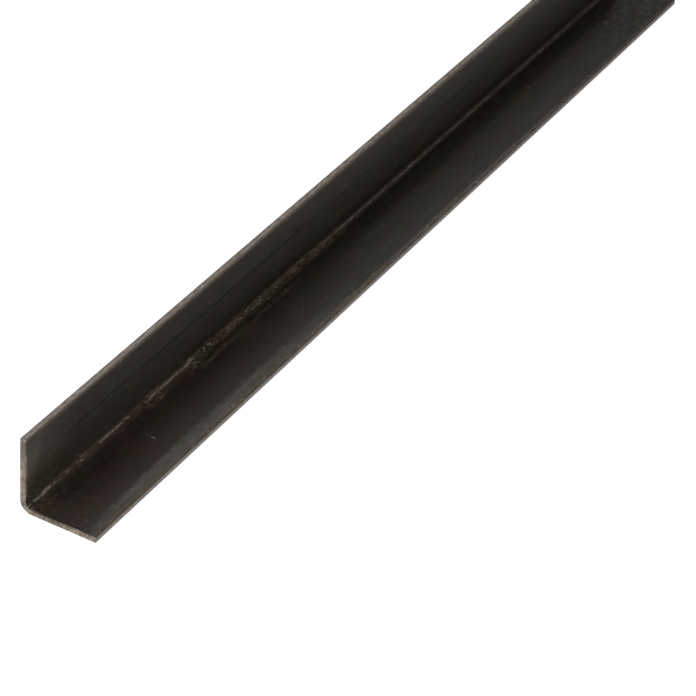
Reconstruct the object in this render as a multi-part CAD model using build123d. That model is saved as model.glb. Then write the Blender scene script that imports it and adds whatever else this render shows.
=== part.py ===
"""Cold-rolled steel angle, 20 x 20 x 1.5 mm, in a cut length of 300 mm.

One strip of steel is slit to width and bent along its middle by pairs of rolls, so both legs have
the same wall, and the heel has a large radius outside and a tighter one inside. The two free
edges, the toes, are the slit edges of the strip: the slitter draws one arris over and leaves the
other crisp. The ends are sawn square.

Frame, in millimetres: the foot leg lies flat on z = 0 and the upright leg stands on its heel at
the low end of X. The bar runs along Y, and the origin is the middle of the bar's footprint.
"""

import os

from build123d import *

# Driving dimensions
LEG = 20.0  # outside width of each leg, heel to toe
WALL = 1.5  # thickness of the strip
LENGTH = 300.0  # sawn length
HEEL_RADIUS = 3.0  # outside of the bend, twice the wall
ROOT_RADIUS = 1.2  # inside of the bend, where the strip thins a little
DRAWN_ARRIS = 0.25  # toe arris on the inner faces, drawn over by the slitter
CRISP_ARRIS = 0.1  # toe arris on the outer faces

# Places worked out from them
HEEL_X = -LEG / 2
TOE_X = LEG / 2
INNER_X = HEEL_X + WALL  # inner face of the upright leg


def corners_near(profile, places):
    """The corner of a flat profile that lies nearest to each (x, z) place."""
    return [profile.vertices().sort_by_distance((x, 0, z))[0] for x, z in places]


def angle_profile():
    """The L-shaped section, looking along the bar: square corners first, then its radii."""
    heel = (HEEL_X, 0)
    root = (INNER_X, WALL)
    foot_toe = [(TOE_X, 0), (TOE_X, WALL)]
    upright_toe = [(INNER_X, LEG), (HEEL_X, LEG)]

    outline = Polyline(heel, *foot_toe, root, *upright_toe, close=True)
    profile = Plane.XZ * make_face(outline)
    profile = fillet(corners_near(profile, [heel]), HEEL_RADIUS)
    profile = fillet(corners_near(profile, [root]), ROOT_RADIUS)
    profile = fillet(corners_near(profile, [foot_toe[1], upright_toe[0]]), DRAWN_ARRIS)
    return fillet(corners_near(profile, [foot_toe[0], upright_toe[1]]), CRISP_ARRIS)


def angle_bar():
    """The section carried along Y, half of the sawn length each way from the origin."""
    return extrude(angle_profile(), amount=LENGTH / 2, both=True)


os.makedirs("parts", exist_ok=True)
export_step(angle_bar(), "parts/angle_section.step")
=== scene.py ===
# %% [markdown]
# # A steel angle, rolled cold from a strip
#
# The real thing is one strip of mild steel, 1.5 mm thick, that pairs of rolls have folded along its
# middle into an L, 20 mm each way. Four marks of that history make it look like itself: the black
# mill scale of the hot-rolled strip, the scale crushed to granules where the rolls folded it, the
# bare grey edges where the strip was slit to width, and the sawn ends.
#
# The lesson builds one skin for the whole bar. Every point of it is known by its place on the flat
# strip, before bending: so far along, so far across, so deep. The same three numbers shape the
# section, carry the relief and place every pattern of the materials. The materials could be given
# to the CAD solid instead, but its long faces have no points for the relief to move.

import math

import bpy
import numpy as np
from mathutils import Matrix, Vector


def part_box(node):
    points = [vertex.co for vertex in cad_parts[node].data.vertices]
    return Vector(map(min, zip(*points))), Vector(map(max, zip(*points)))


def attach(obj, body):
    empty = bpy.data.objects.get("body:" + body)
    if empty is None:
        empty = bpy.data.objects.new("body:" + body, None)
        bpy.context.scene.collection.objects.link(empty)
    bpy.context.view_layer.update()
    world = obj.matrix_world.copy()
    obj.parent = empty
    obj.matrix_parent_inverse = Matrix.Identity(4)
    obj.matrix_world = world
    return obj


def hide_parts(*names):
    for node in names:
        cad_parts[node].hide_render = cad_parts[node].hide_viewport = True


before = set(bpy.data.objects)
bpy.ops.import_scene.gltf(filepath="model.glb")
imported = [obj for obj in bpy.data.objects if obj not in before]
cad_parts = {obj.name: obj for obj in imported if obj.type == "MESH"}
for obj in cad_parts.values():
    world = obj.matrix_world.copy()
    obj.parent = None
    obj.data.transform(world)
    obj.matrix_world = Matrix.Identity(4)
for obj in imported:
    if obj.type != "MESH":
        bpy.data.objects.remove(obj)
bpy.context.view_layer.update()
MM = 0.001  # the lesson counts in millimetres, Blender in metres

# %% [markdown]
# ## The camera
#
# A long lens from about 0.7 m, at the front and a little to the right, looking down at the near end.
# A camera could be aimed with a constraint, but a matrix built from its own three axes is plain and
# exact, and it can lean a little, as one held over a table does.

# %% Place the camera
CAMERA_AZIMUTH = math.radians(27.558)  # round from the front towards +X
CAMERA_ELEVATION = math.radians(35.467)
CAMERA_LEAN = math.radians(4.479)
CAMERA_AIM = Vector((19.4933, -56.8273, 1.5875)) * MM
CAMERA_DISTANCE = 696.898 * MM
CAMERA_LENS = 150.597  # mm
SENSOR_WIDTH = 36.0  # mm


def make_camera():
    """Backwards is the unit vector from the aim to the camera: (sin a cos e, -cos a cos e, sin e).

    Right is level, up completes the three, and both turn about the line of sight by the lean.
    """
    azimuth, elevation = CAMERA_AZIMUTH, CAMERA_ELEVATION
    back = Vector((
        math.sin(azimuth) * math.cos(elevation),
        -math.cos(azimuth) * math.cos(elevation),
        math.sin(elevation),
    ))
    level = Vector((0, 0, 1)).cross(back).normalized()
    upright = back.cross(level)
    right = level * math.cos(CAMERA_LEAN) + upright * math.sin(CAMERA_LEAN)
    up = upright * math.cos(CAMERA_LEAN) - level * math.sin(CAMERA_LEAN)
    data = bpy.data.cameras.new("bench_camera")
    data.sensor_width = SENSOR_WIDTH
    data.lens = CAMERA_LENS
    data.clip_start = 10 * MM
    camera = bpy.data.objects.new("bench_camera", data)
    pose = Matrix((right, up, back)).transposed().to_4x4()
    pose.translation = CAMERA_AIM + back * CAMERA_DISTANCE
    camera.matrix_world = pose
    bpy.context.scene.collection.objects.link(camera)
    bpy.context.scene.camera = camera
    return camera


camera = make_camera()
print("camera at, mm:", [round(c / MM, 1) for c in camera.matrix_world.translation])

# %% [markdown]
# ## The strip and its bend
#
# On the flat strip a point is *across* mm from the middle, counted along the inner face and
# positive towards the foot, and *depth* mm in from the outer face, so WALL is the inner face.
# Rolling wraps the middle of the strip round two centres that aren't quite the same, because the
# heel has a radius of 3 mm and the root 1.2 mm, so the wall thins a little in the bend.
#
# A Bevel modifier on an L would give equal walls or equal radii. The formula gives the real pair.
# The leg and the length come from the frame, and the rest are the sizes that such strip is rolled to.

# %% Sizes of the section
lowest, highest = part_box("angle_section")
LEG, LENGTH = [round(side / MM, 2) for side in (highest - lowest)[:2]]
WALL = 1.5
HEEL_RADIUS = 3.0
ROOT_RADIUS = 1.2
DRAWN_ARRIS = 0.25  # toe corner on the inner face, drawn over by the slitter
CRISP_ARRIS = 0.1  # toe corner on the outer face

HALF_BEND = ROOT_RADIUS * math.pi / 4
FLAT = LEG - WALL - ROOT_RADIUS
TOE = HALF_BEND + FLAT  # across, where the strip ends
print("leg and length, mm:", LEG, LENGTH, "half of the strip, along its inner face:", round(TOE, 3))


# %% From the flat strip to the bent section
def bend_directions(across):
    """Two unit vectors (x, z) at a place across the strip: out through the wall, and along it.

    The turn goes from 0 on the upright leg to a quarter circle on the foot leg, in proportion to
    the distance across within the bend. Out is (-cos, -sin) of it, and along is (sin, -cos).
    """
    turn = math.pi / 4 + np.clip(across, -HALF_BEND, HALF_BEND) / ROOT_RADIUS
    out = np.stack([-np.cos(turn), -np.sin(turn)], -1)
    along = np.stack([np.sin(turn), -np.cos(turn)], -1)
    return out, along


def section_place(across, depth):
    """Where a point of the flat strip lies in the section, in mm from the sharp heel corner.

    The inner line is the root's centre, plus its radius times out, plus the rest of the distance
    along. The outer line is the same with the heel's centre and radius, and its run is shortened
    to end at the same toe. A point between them goes in proportion to its depth.
    """
    out, along = bend_directions(across)
    run = np.sign(across) * np.maximum(np.abs(across) - HALF_BEND, 0.0)
    outer_run = run * (LEG - HEEL_RADIUS) / FLAT
    inner = WALL + ROOT_RADIUS + ROOT_RADIUS * out + run[..., None] * along
    outer = HEEL_RADIUS + HEEL_RADIUS * out + outer_run[..., None] * along
    return outer + (inner - outer) * (depth / WALL)[..., None]


root_place = section_place(np.array([0.0]), np.array([WALL]))[0]
heel_place = section_place(np.array([0.0]), np.array([0.0]))[0]
print("wall in the bend, mm:", round(float(np.hypot(*(root_place - heel_place))), 3))


# %% Round the four toe corners
def round_corner(places, corner, inward, radius):
    """Pulls the points of a small square at a sharp corner in to a round arris.

    With p from the arris centre, the new one is p times the longer of its sides over its length,
    which turns a square into a disc.
    """
    depth = (places - np.array(corner)) * np.array(inward)
    near = np.all(depth < radius, axis=-1)
    offset = np.where(near[..., None], depth - radius, 1.0)
    reach = np.abs(offset).max(-1) / np.hypot(offset[..., 0], offset[..., 1])
    rounded = np.array(corner) + (radius + offset * reach[..., None]) * np.array(inward)
    return np.where(near[..., None], rounded, places)


def bar_section(across, depth):
    """The finished section: the bent strip with its four toe corners rounded."""
    places = section_place(across, depth)
    places = round_corner(places, (LEG, WALL), (-1, -1), DRAWN_ARRIS)
    places = round_corner(places, (WALL, LEG), (-1, -1), DRAWN_ARRIS)
    places = round_corner(places, (LEG, 0), (-1, 1), CRISP_ARRIS)
    return round_corner(places, (0, LEG), (1, -1), CRISP_ARRIS)


toe_corner = bar_section(np.array([TOE]), np.array([WALL]))[0]
print("the foot's inner toe corner, mm from the heel corner:", toe_corner.round(3))

# %% [markdown]
# ## The grid
#
# The skin is a grid: loops round the section, one after another along the bar. An even grid, as
# fine as the toes need, would have over a million triangles. So the lines crowd where something
# happens, at the toes, the root, a roll mark on the upright leg and the two ends, and spread where
# the sheet is plain. That keeps the piece under 200,000.

# %% Lines of the grid
ROLL_MARK = -10.35  # across, the middle of a line that a roll edge pressed into the upright leg
TOE_BAND = 1.4  # mm, the width beside each toe that gets lines of its own
RINGS = 661
CROWDING = 0.22  # rings are 0.35 mm apart at the near end and 0.55 mm at the far end


def spans(*parts):
    """Numbers in rising order: each part is (start, end, steps), and starts where the last ended."""
    runs = [np.linspace(start, end, steps, endpoint=False) for start, end, steps in parts]
    return np.concatenate([*runs, [parts[-1][1]]])


across_lines = spans(
    (-TOE, CRISP_ARRIS - TOE, 2),  # round the upright leg's arrises
    (CRISP_ARRIS - TOE, DRAWN_ARRIS - TOE, 2),
    (DRAWN_ARRIS - TOE, TOE_BAND - TOE, 2),
    (TOE_BAND - TOE, ROLL_MARK - 0.6, 3),
    (ROLL_MARK - 0.6, ROLL_MARK + 0.6, 6),  # the roll mark
    (ROLL_MARK + 0.6, -4.2, 2),
    (-4.2, -HALF_BEND, 7),  # beside the root
    (-HALF_BEND, HALF_BEND, 13),  # the bend
    (HALF_BEND, 4.4, 11),  # granules and folds on the foot leg
    (4.4, 13.8, 3),
    (13.8, 15.2, 4),  # the edge of the strip that a side roll wore
    (15.2, TOE - TOE_BAND, 1),
    (TOE - TOE_BAND, TOE - DRAWN_ARRIS, 2),
    (TOE - DRAWN_ARRIS, TOE - CRISP_ARRIS, 2),  # round the foot leg's arrises
    (TOE - CRISP_ARRIS, TOE, 2),
)
depth_lines = spans(
    (0, CRISP_ARRIS, 2),
    (CRISP_ARRIS, WALL - DRAWN_ARRIS, 4),
    (WALL - DRAWN_ARRIS, WALL, 3),
)
even = np.linspace(0, 1, RINGS)
along_lines = LENGTH * ((1 - CROWDING) * even + CROWDING * even**2)
along_lines = np.sort(np.append(along_lines, [0.04, 0.12, LENGTH - 0.12, LENGTH - 0.04]))
print("lines across, in depth and along:", len(across_lines), len(depth_lines), len(along_lines))

# %% Loops round the section
n_across, n_depth = len(across_lines), len(depth_lines)
loop_across = np.concatenate([
    across_lines,
    np.full(n_depth - 2, TOE),
    across_lines[::-1],
    np.full(n_depth - 2, -TOE),
])
loop_depth = np.concatenate([
    np.full(n_across, WALL),
    depth_lines[-2:0:-1],
    np.zeros(n_across),
    depth_lines[1:-1],
])
print("loops:", len(along_lines), "of", len(loop_across), "points")

# %% [markdown]
# ## Chance that repeats
#
# Wear is irregular, yet the script has to give the same bar each time. Blender's own noise is for
# materials. For the mesh, a lattice of seeded random numbers, blended smoothly between its points,
# does the same for whole arrays at once.


# %% A smooth random field
def random_field(seed, first, second, first_cell, second_cell):
    """Smooth noise from -1 to 1 over two coordinates, with lattice cells of the given sizes.

    Each lattice point has a random value. Between four of them the value is their average, weighted
    by s = 3t^2 - 2t^3 of how far across the cell the point is, both ways.
    """
    u, v = np.broadcast_arrays(first / first_cell, second / second_cell)
    u, v = u - u.min(), v - v.min()
    lattice = np.random.default_rng(seed).uniform(-1, 1, (int(u.max()) + 2, int(v.max()) + 2))
    i, j = u.astype(int), v.astype(int)
    s, t = u - i, v - j
    s, t = s * s * (3 - 2 * s), t * t * (3 - 2 * t)
    low = lattice[i, j] * (1 - t) + lattice[i, j + 1] * t
    high = lattice[i + 1, j] * (1 - t) + lattice[i + 1, j + 1] * t
    return low * (1 - s) + high * s


ALONG = along_lines[:, None]
ACROSS = loop_across[None, :]
DEPTH = loop_depth[None, :]
on_inner = (DEPTH > WALL - 1e-6) * 1.0
on_outer = (DEPTH < 1e-6) * 1.0


def strip_noise(seed, long, wide):
    """The random field over the whole skin, with cells of long x wide mm on the strip."""
    return random_field(seed, ALONG, ACROSS, long, wide)


print("random field, rms:", round(float(strip_noise(1, 5.0, 2.0).std()), 3))

# %% [markdown]
# Wear comes in patches with soft edges. A *ramp* is one soft edge, a *band* has two, and a *patch*
# is a band across the strip times a band along it. A band that starts at NEAR or stops at FAR runs
# on past the end of the bar. Wear could be painted by hand on an image, but numbers in a table are
# exact, and they bend round the root with the strip.

# %% Ramps, bands and patches
NEAR, FAR = -100.0, LENGTH + 100.0


def ramp(value, start, end):
    """0 at start, 1 at end and smooth between, either way round."""
    t = np.clip((value - start) / (end - start), 0, 1)
    return t * t * (3 - 2 * t)


def band(value, low, high, soft):
    """1 between low and high, falling to 0 over a soft edge outside them."""
    return ramp(value, low - soft, low) * ramp(value, high + soft, high)


def patch(amount, across, along):
    """An amount times a band across the strip times a band along it, each (low, high, soft) mm."""
    return amount * band(ACROSS, *across) * band(ALONG, *along)


def patches(rows):
    """The strongest of several patches, point by point."""
    return np.maximum.reduce([patch(*row) for row in rows])


print("a patch of 4 x 10 mm, share of the skin:", round(float(patch(1, (0, 4, 1), (0, 10, 1)).mean()), 5))

# %% [markdown]
# ## Where the rolls crushed the scale
#
# At the root the upper roll's nose presses on the strip. The brittle scale there is crushed to
# brown granules, and where the nose slipped it has rubbed the steel bright in short dashes. Each
# dash is a capsule on the strip: a start and an end along the bar, a line across, a half width.
#
# The first field that comes out is *rubbed*, for bright metal. A dash could be a sliver of its own,
# laid on the skin. As a field, which is one number per point, it changes colour, gloss and height
# together. Besides the dashes the field has a thin *thread* along the far half of the root, the
# *burr* that the saw turned up on the near end, and on the outer faces the two lines where the lower
# roll's groove ran along the sides of the heel.

# %% Dashes that the roll rubbed bright
ROOT_DASHES = (  # start, end, across at the start, across at the end, half width, strength
    (0.0, 1.0, 0.15, 0.10, 0.30, 0.35),
    (3.2, 5.0, 0.15, 0.20, 0.36, 0.85),
    (5.8, 8.0, 0.15, 0.10, 0.46, 1.35),
    (10.3, 10.6, 0.10, 0.10, 0.26, 0.70),
    (12.3, 12.5, 0.40, 0.40, 0.22, 0.35),
    (15.2, 16.0, 0.10, 0.05, 0.26, 0.75),
    (20.4, 21.0, 0.20, 0.30, 0.24, 0.45),
    (21.8, 22.3, -0.30, -0.20, 0.24, 0.40),
    (28.8, 36.8, 0.00, 0.05, 0.32, 0.95),
    (39.0, 40.0, -0.20, 0.05, 0.24, 0.70),
    (47.5, 49.0, 0.30, 0.20, 0.22, 0.60),
    (49.5, 52.0, 0.00, 0.00, 0.24, 0.70),
    (53.8, 59.0, 0.00, 0.00, 0.30, 0.90),
    (59.8, 65.2, 0.00, 0.05, 0.26, 0.75),
    (65.0, 67.2, 0.10, -0.35, 0.24, 0.80),
    (66.3, 66.9, -0.60, -0.50, 0.26, 1.00),
    (65.4, 66.0, 1.80, 1.70, 0.24, 0.90),
    (66.6, 67.0, 0.70, 0.80, 0.22, 0.80),
    (34.5, 35.8, 1.60, 1.80, 0.22, 0.50),
    (51.0, 51.8, 1.90, 1.90, 0.24, 0.65),
    (55.0, 66.0, 1.90, 1.70, 0.20, 0.15),
    (99.9, 100.5, 1.30, 1.35, 0.26, 0.55),
    (96.2, 96.7, 0.40, 0.45, 0.26, 0.45),
    (87.5, 88.5, 0.10, 0.20, 0.24, 0.35),
    (107.4, 108.0, -0.90, -0.80, 0.24, 0.35),
    (113.6, 114.1, 0.20, 0.30, 0.26, 0.45),
    (117.4, 118.0, -0.60, -0.50, 0.26, 0.40),
    (137.0, 138.5, 0.00, 0.00, 0.26, 0.45),
    (173.0, 175.0, -0.15, -0.10, 0.28, 0.55),
    (206.0, 217.0, -0.15, -0.15, 0.26, 0.35),
    (248.0, 250.0, -0.10, -0.10, 0.28, 0.45),
)
wander = 0.10 * strip_noise(27, 2.4, 50.0)  # mm, how far the roll's lines stray sideways


def capsule(start, end, first, last, half_width):
    """1 on a line of the strip, falling to 0 at a half width from it: 1 - (distance / half width)^2.

    The line goes from across = first at start to across = last at end, wandering a little. Along
    the bar a distance counts a third, so the ends taper off.
    """
    part = np.clip((ALONG - start) / (end - start), 0, 1)
    beyond = (ALONG - (start + part * (end - start))) / 3
    aside = ACROSS - (first + part * (last - first)) - wander
    return np.clip(1 - (beyond**2 + aside**2) / half_width**2, 0, 1)


rubbed = np.zeros((len(along_lines), len(loop_across)))
for start, end, first, last, half_width, strength in ROOT_DASHES:
    rubbed = np.maximum(rubbed, capsule(start, end, first, last, half_width) * strength)
rubbed = rubbed * (0.75 + 0.6 * strip_noise(11, 0.8, 0.3))
print("dashes, share of the skin:", round(float(rubbed.mean()), 5))

# %% The thread, the burr and the lines beside the heel
HEEL_LINE = 1.5  # mm across, either way from the middle of the heel
BAR_AND_MORE = (-20, 320)  # along, from before one end to past the other
thread = 0.29 + 0.09 * strip_noise(12, 6.0, 3.0) + 0.18 * strip_noise(13, 1.2, 3.0)
thread = thread * capsule(128, 320, -0.12, 0.15, 0.21) * ramp(ALONG, 124, 140)
burr = 0.40 * ramp(ALONG, 0.9, 0.2) * band(ACROSS, -17.4, -3.0, 1.0)
burr = burr * (0.7 + 0.6 * strip_noise(25, 3.0, 0.8))
heel_lines = capsule(*BAR_AND_MORE, HEEL_LINE, HEEL_LINE, 0.5)
heel_lines = heel_lines + capsule(*BAR_AND_MORE, -HEEL_LINE, -HEEL_LINE, 0.5)
broken = strip_noise(14, 16.0, 2.0) + 0.4 * strip_noise(15, 1.3, 0.6)
heel_lines = 0.32 * heel_lines * ramp(broken, -0.3, 0.9)
rubbed = np.maximum(np.maximum(rubbed, thread), burr)
rubbed = np.clip(rubbed * on_inner + heel_lines * on_outer, 0, 1)
print("rubbed share of the skin:", round(float(rubbed.mean()), 4))

# %% [markdown]
# The second field is *pressed*, for scale that the roll flattened to a brown film. Where the strip
# was bent hardest, 60 to 110 mm from the near end, the film was also pushed up into a *lip* that
# wanders along the foot leg, 3 mm from the middle of the strip.

# %% Scale that the roll pressed flat
PRESSED = (  # amount, band across, band along
    (1.10, (-0.5, 1.2, 0.7), (9, 68, 3)),  # the root's near part
    (0.24, (-3.0, 3.0, 1.0), (6, 60, 6)),  # a thin film on both sides of it
    (0.60, (-0.7, 0.7, 0.4), (70, FAR, 4)),  # the root's far part
)
fold_line = 3.0 + 0.35 * strip_noise(20, 9.0, 40.0)  # across, in mm
fold_line = fold_line + 0.20 * strip_noise(28, 2.6, 40.0)
fold_width = 0.20 + 0.50 * ramp(ALONG, 94, 88) + 0.15 * strip_noise(30, 5.0, 40.0)
lip = band(ACROSS - fold_line, -fold_width, fold_width, 0.4) * band(ALONG, 60, 111, 3)
lip = lip * (0.50 + 0.14 * ramp(ALONG, 88, 94)) * (1 + 0.6 * strip_noise(34, 6.0, 40.0))
pressed = np.maximum(patches(PRESSED), lip * (1 + 1.2 * strip_noise(26, 1.8, 0.7)))
pressed = pressed * (0.85 + 0.3 * strip_noise(19, 3.0, 0.8)) * on_inner
lip_spread = patch(0.40, (3.3, 4.2, 0.6), (82, 89, 2.5)) * on_inner
pressed = np.maximum(pressed, lip_spread)
print("pressed share of the skin:", round(float(pressed.mean()), 3))

# %% [markdown]
# The third is *crushed*, for granules. A ridge of them runs along the root for 50 mm, and shorter
# patches lie before and after it. A second row stands on the lip, with a gap of sound scale between
# the two. On the outside of the bend the scale has only *cracked*. The smallest grains, *crystals*,
# are single glints of broken oxide.

# %% Scale that the roll crushed to granules
CRUSHED = (  # amount, band across, band along
    (0.60, (-0.8, 1.2, 0.5), (118, 134, 6)),
    (0.14, (-1.0, 1.6, 0.9), (NEAR, 5, 5)),
    (0.30, (-0.2, 1.5, 0.4), (10.5, 12.5, 1.2)),
    (0.70, (-1.0, 1.2, 0.4), (19.5, 22.5, 1.2)),
    (0.70, (-0.6, 0.8, 0.4), (38.5, 39.5, 1.2)),
    (0.80, (-0.9, 2.0, 0.4), (46.5, 52.5, 1.2)),
    (0.90, (-1.0, 2.0, 0.4), (64.8, 68.0, 1.2)),
)
CRYSTALS = (
    (0.75, (-2.2, 2.8, 1.0), (NEAR, 5, 8)),
    (0.80, (-1.6, 2.2, 0.8), (19, 23, 1.5)),
    (0.50, (-1.2, 2.4, 0.8), (46, 53, 2)),
)
ridge = ACROSS - 0.35 * strip_noise(35, 2.6, 50.0)
ridge = 0.46 * band(ridge, -0.9, 1.3, 0.6) + 0.50 * band(ridge, -0.1, 0.3, 0.8)
crushed = np.maximum(ridge * band(ALONG, 68, 119, 4), patches(CRUSHED))
second_row = band(ALONG, 70, 80, 4) + 0.7 * band(ALONG, 84, 92, 3) + 0.8 * band(ALONG, 96, 108, 3)
second_row = band(ACROSS - fold_line, -0.3, 0.4, 0.5) * second_row
crushed = np.maximum(crushed, 0.34 * second_row * (1 + 0.9 * strip_noise(29, 1.6, 0.7)))
gap = band(ACROSS - fold_line, -1.15, -0.95, 0.3) * band(ALONG, 69, 112, 3)
crushed = crushed * (1 - 0.5 * gap)
clumps = 0.12 * strip_noise(14, 3.0, 0.9) + 0.30 * strip_noise(22, 1.1, 0.6)
cracked = 0.16 * band(np.abs(ACROSS), 0.0, 1.3, 0.6) * (1 + strip_noise(23, 12.0, 1.0)) * on_outer
crushed = np.clip(crushed * (0.90 + clumps) * on_inner + cracked, 0, 1)
crystals = patches(CRYSTALS) * on_inner
print("crushed share of the skin:", round(float(crushed.mean()), 3))

# %% [markdown]
# ## Colour by place
#
# Beside the crushed line both legs are darker, a *stain_and_shade*. It is partly oil and oxide, and
# partly painted shade in the corner of the root, on the foot leg beside it and on both sides of the lip.
# Further out, the foot leg is tinted red-brown, *rust* in its thinnest form. Paler places are
# *bloom_and_painted_light*: dry oxide on both legs, and painted light that lifts the upright leg beside
# the root and the middle of the foot leg in the far half.

# %% Stain and painted shade, rust, bloom and painted light
BLOOM_AND_PAINTED_LIGHT = (  # amount, band across, band along
    (0.28, (-9.0, -5.0, 1.2), (NEAR, 120, 50)),
    (0.45, (2.5, 4.0, 1.5), (NEAR, 50, 16)),
    (1.00, (7.0, 9.5, 1.7), (135, FAR, 30)),
)
SIDE_ROLL_LINE = 9.0  # across, either way: a line that a side roll rubbed along each outer face
slow = strip_noise(15, 18.0, 3.0)
# painted shade, with oil stain, on the upright leg beside the root
root_stain_and_shade = (0.22 + 0.56 * ramp(ALONG, 20, 95)) * band(ACROSS, -2.9, -1.2, 1.2)
# painted shade on both sides of the lip and in a band beyond it
fold_shade = 0.12 * band(np.abs(ACROSS - fold_line), 0.9, 1.1, 0.4)
fold_shade = (fold_shade + 0.22 * band(ACROSS, 4.8, 6.0, 1.0)) * band(ALONG, 64, 112, 6)
handled = patch(0.30, (4.0, 11.5, 3.0), (11, 21, 8))
# painted shade, with stain, on the foot leg beside the root
near_stain_and_shade = patch(0.12, (1.0, 3.0, 3.0), (NEAR, 95, 30))
far_stain_and_shade = patch(0.45, (0.9, 5.0 + 0.3 * slow, 1.3), (125, FAR, 30))
upright_stain = patch(0.16, (-11.5, -6.5, 1.5), (150, FAR, 50))
stain_and_shade = np.maximum(root_stain_and_shade, fold_shade + handled)
stain_and_shade = np.maximum(stain_and_shade, near_stain_and_shade + far_stain_and_shade + upright_stain)
stain_and_shade = np.clip(stain_and_shade * (0.9 + 0.2 * slow), 0, 1) * on_inner

rust = band(ACROSS, 2.5, 13.6, 1.6) * (0.8 + 0.25 * ramp(ACROSS, 8.0, 12.0)) * ramp(ALONG, 150, 60)
rust = rust + 0.12 * band(ACROSS, -9.5, -2.0, 1.5)
rust = np.clip(rust * (0.85 + 0.35 * strip_noise(16, 25.0, 5.0)), 0, 1)

# painted light on the upright leg beside the root and, in the table, on the middle of the foot leg in the
# far half; the rest is dry oxide
bloom_and_painted_light = (0.30 + 0.15 * ramp(ALONG, 100, 160)) * band(ACROSS, -5.6, -3.4, 2.0)
bloom_and_painted_light = np.maximum(bloom_and_painted_light, patches(BLOOM_AND_PAINTED_LIGHT)) * on_inner
side_lines = np.clip(1.2 - (np.abs(ACROSS) - SIDE_ROLL_LINE) ** 2, 0, 1)
side_lines = side_lines * (0.5 + 0.5 * strip_noise(24, 30.0, 30.0))
bloom_and_painted_light = np.maximum(bloom_and_painted_light, 0.7 * side_lines * on_outer)
print("shares: stain", round(float(stain_and_shade.mean()), 3), "rust", round(float(rust.mean()), 3),
      "bloom_and_painted_light", round(float(bloom_and_painted_light.mean()), 3))

# %% [markdown]
# Four more fields tell the materials how the surface changes from place to place: *far mottle* where the
# far end lay in the weather, *grainy* for how strongly the scale's grain shows, *retreat* for how much
# the bare strip along the foot's toe narrows towards both ends, and *worn_and_sheen* for the bluish strip
# that a side roll polished beside it, painted paler with a sheen that fades out towards the far end.

# %% Mottle, grain, bare strip and worn strip
far_mottle = ramp(ALONG, 200, 285) * ramp(ACROSS, 1.0, 5.0) * on_inner
grainy = 0.60 * ramp(ACROSS, 3, -3) + (0.22 + 0.33 * ramp(ALONG, 50, 150)) * ramp(ACROSS, -3, 3)
grainy = grainy * (1 - 0.6 * on_outer)
retreat = 0.5 * ramp(ALONG, 90, 40) + 0.6 * ramp(ALONG, 170, 265)  # mm, how much narrower
# painted sheen: the worn strip fades out towards the far end
worn_and_sheen = ramp(ALONG, 135, 60) * (0.9 + 0.2 * strip_noise(17, 1.6, 0.7)) * on_inner
worn_and_sheen = np.clip(worn_and_sheen, 0, 1) * ramp(ACROSS, 8.0, 12.0) * (0.55 + 0.45 * ramp(ALONG, 0, 22))
print("shares: far mottle", round(float(far_mottle.mean()), 3), "worn_and_sheen", round(float(worn_and_sheen.mean()), 3))

# %% [markdown]
# A roll edge has pressed one thin *mark* into the upright leg. Most of the saw's burr was taken off the
# near end with a file, and one stroke ran up the inside of the upright leg. It took the top of the scale
# off a slanting patch, the field *filed_and_painted_light*. That field is made stronger lower down the
# leg as painted light that evens out the shade there.

# %% The roll mark and the filed patch
MARK_WIDTH = 0.33  # mm
STROKE_TOP = -17.2  # across, near the upright leg's toe
STROKE_REACH = 9.0  # mm along, how far the stroke came there
STROKE_SLANT = 0.51  # mm along that it lost for each mm down the leg
mark_strength = (0.52 + 0.30 * band(ALONG, 35, 110, 25)) * ramp(ALONG, 380, 200)
mark = np.clip(1.3 - (np.abs(ACROSS - ROLL_MARK) / MARK_WIDTH) ** 2, 0, 1) * mark_strength
mark = mark * (0.8 + 0.3 * strip_noise(18, 3.0, 5.0)) * on_inner
stroke_edge = STROKE_REACH - STROKE_SLANT * (ACROSS - STROKE_TOP)
stroke_edge = stroke_edge + 0.35 * strip_noise(21, 3.0, 1.3)
inside = stroke_edge - ALONG  # mm, how far inside the stroke's edge a point lies
filed_and_painted_light = np.maximum(0.95 * ramp(inside, -1.2, 1.8), 0.42 * ramp(inside, -15.0, 0.0))
# painted light: stronger lower down the leg, to even out the shade towards the root
filed_and_painted_light = filed_and_painted_light * (0.45 + 0.60 * ramp(ACROSS, -17.0, -11.5))
filed_and_painted_light = filed_and_painted_light * ramp(ACROSS, -4.0, -8.8) * on_inner
print("shares: mark", round(float(mark.mean()), 3), "filed_and_painted_light", round(float(filed_and_painted_light.mean()), 4))

# %% [markdown]
# ## Relief
#
# The fields now move the skin. Heights are hundredths of a millimetre, which is what scale, roll
# marks and slit edges really have. A Displace modifier could do it, but it would push the outer
# faces out as well. Here everything on the outer faces, the toes and the ends goes into the steel
# and nothing stands out of it, so the bar keeps its catalogue size.


# %% Heights over the grid
def inner_relief():
    """Height of the inner faces, in mm: each field times its height, plus slow waves of the roll.

    Granules are high where two noises are, the row on the lip stands proud, a groove runs inside
    it, rubbed dashes are burnished up a little, and the roll mark is pressed in.
    """
    waves = 0.015 * strip_noise(31, 35.0, 9.0)
    fine = 0.050 * crushed * strip_noise(32, 0.7, 0.45)
    coarse = 0.025 * crushed * strip_noise(33, 2.4, 0.5)
    groove_line = ACROSS - 2.4 - 0.4 * strip_noise(36, 5.0, 50.0)
    groove = band(groove_line, -0.35, 0.35, 0.45) * (1 + 0.7 * strip_noise(37, 4.0, 50.0))
    folds = 0.06 * second_row - 0.025 * groove * band(ALONG, 70, 110, 6)
    return (waves + fine + coarse + folds + 0.03 * rubbed - 0.03 * mark) * on_inner


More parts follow.
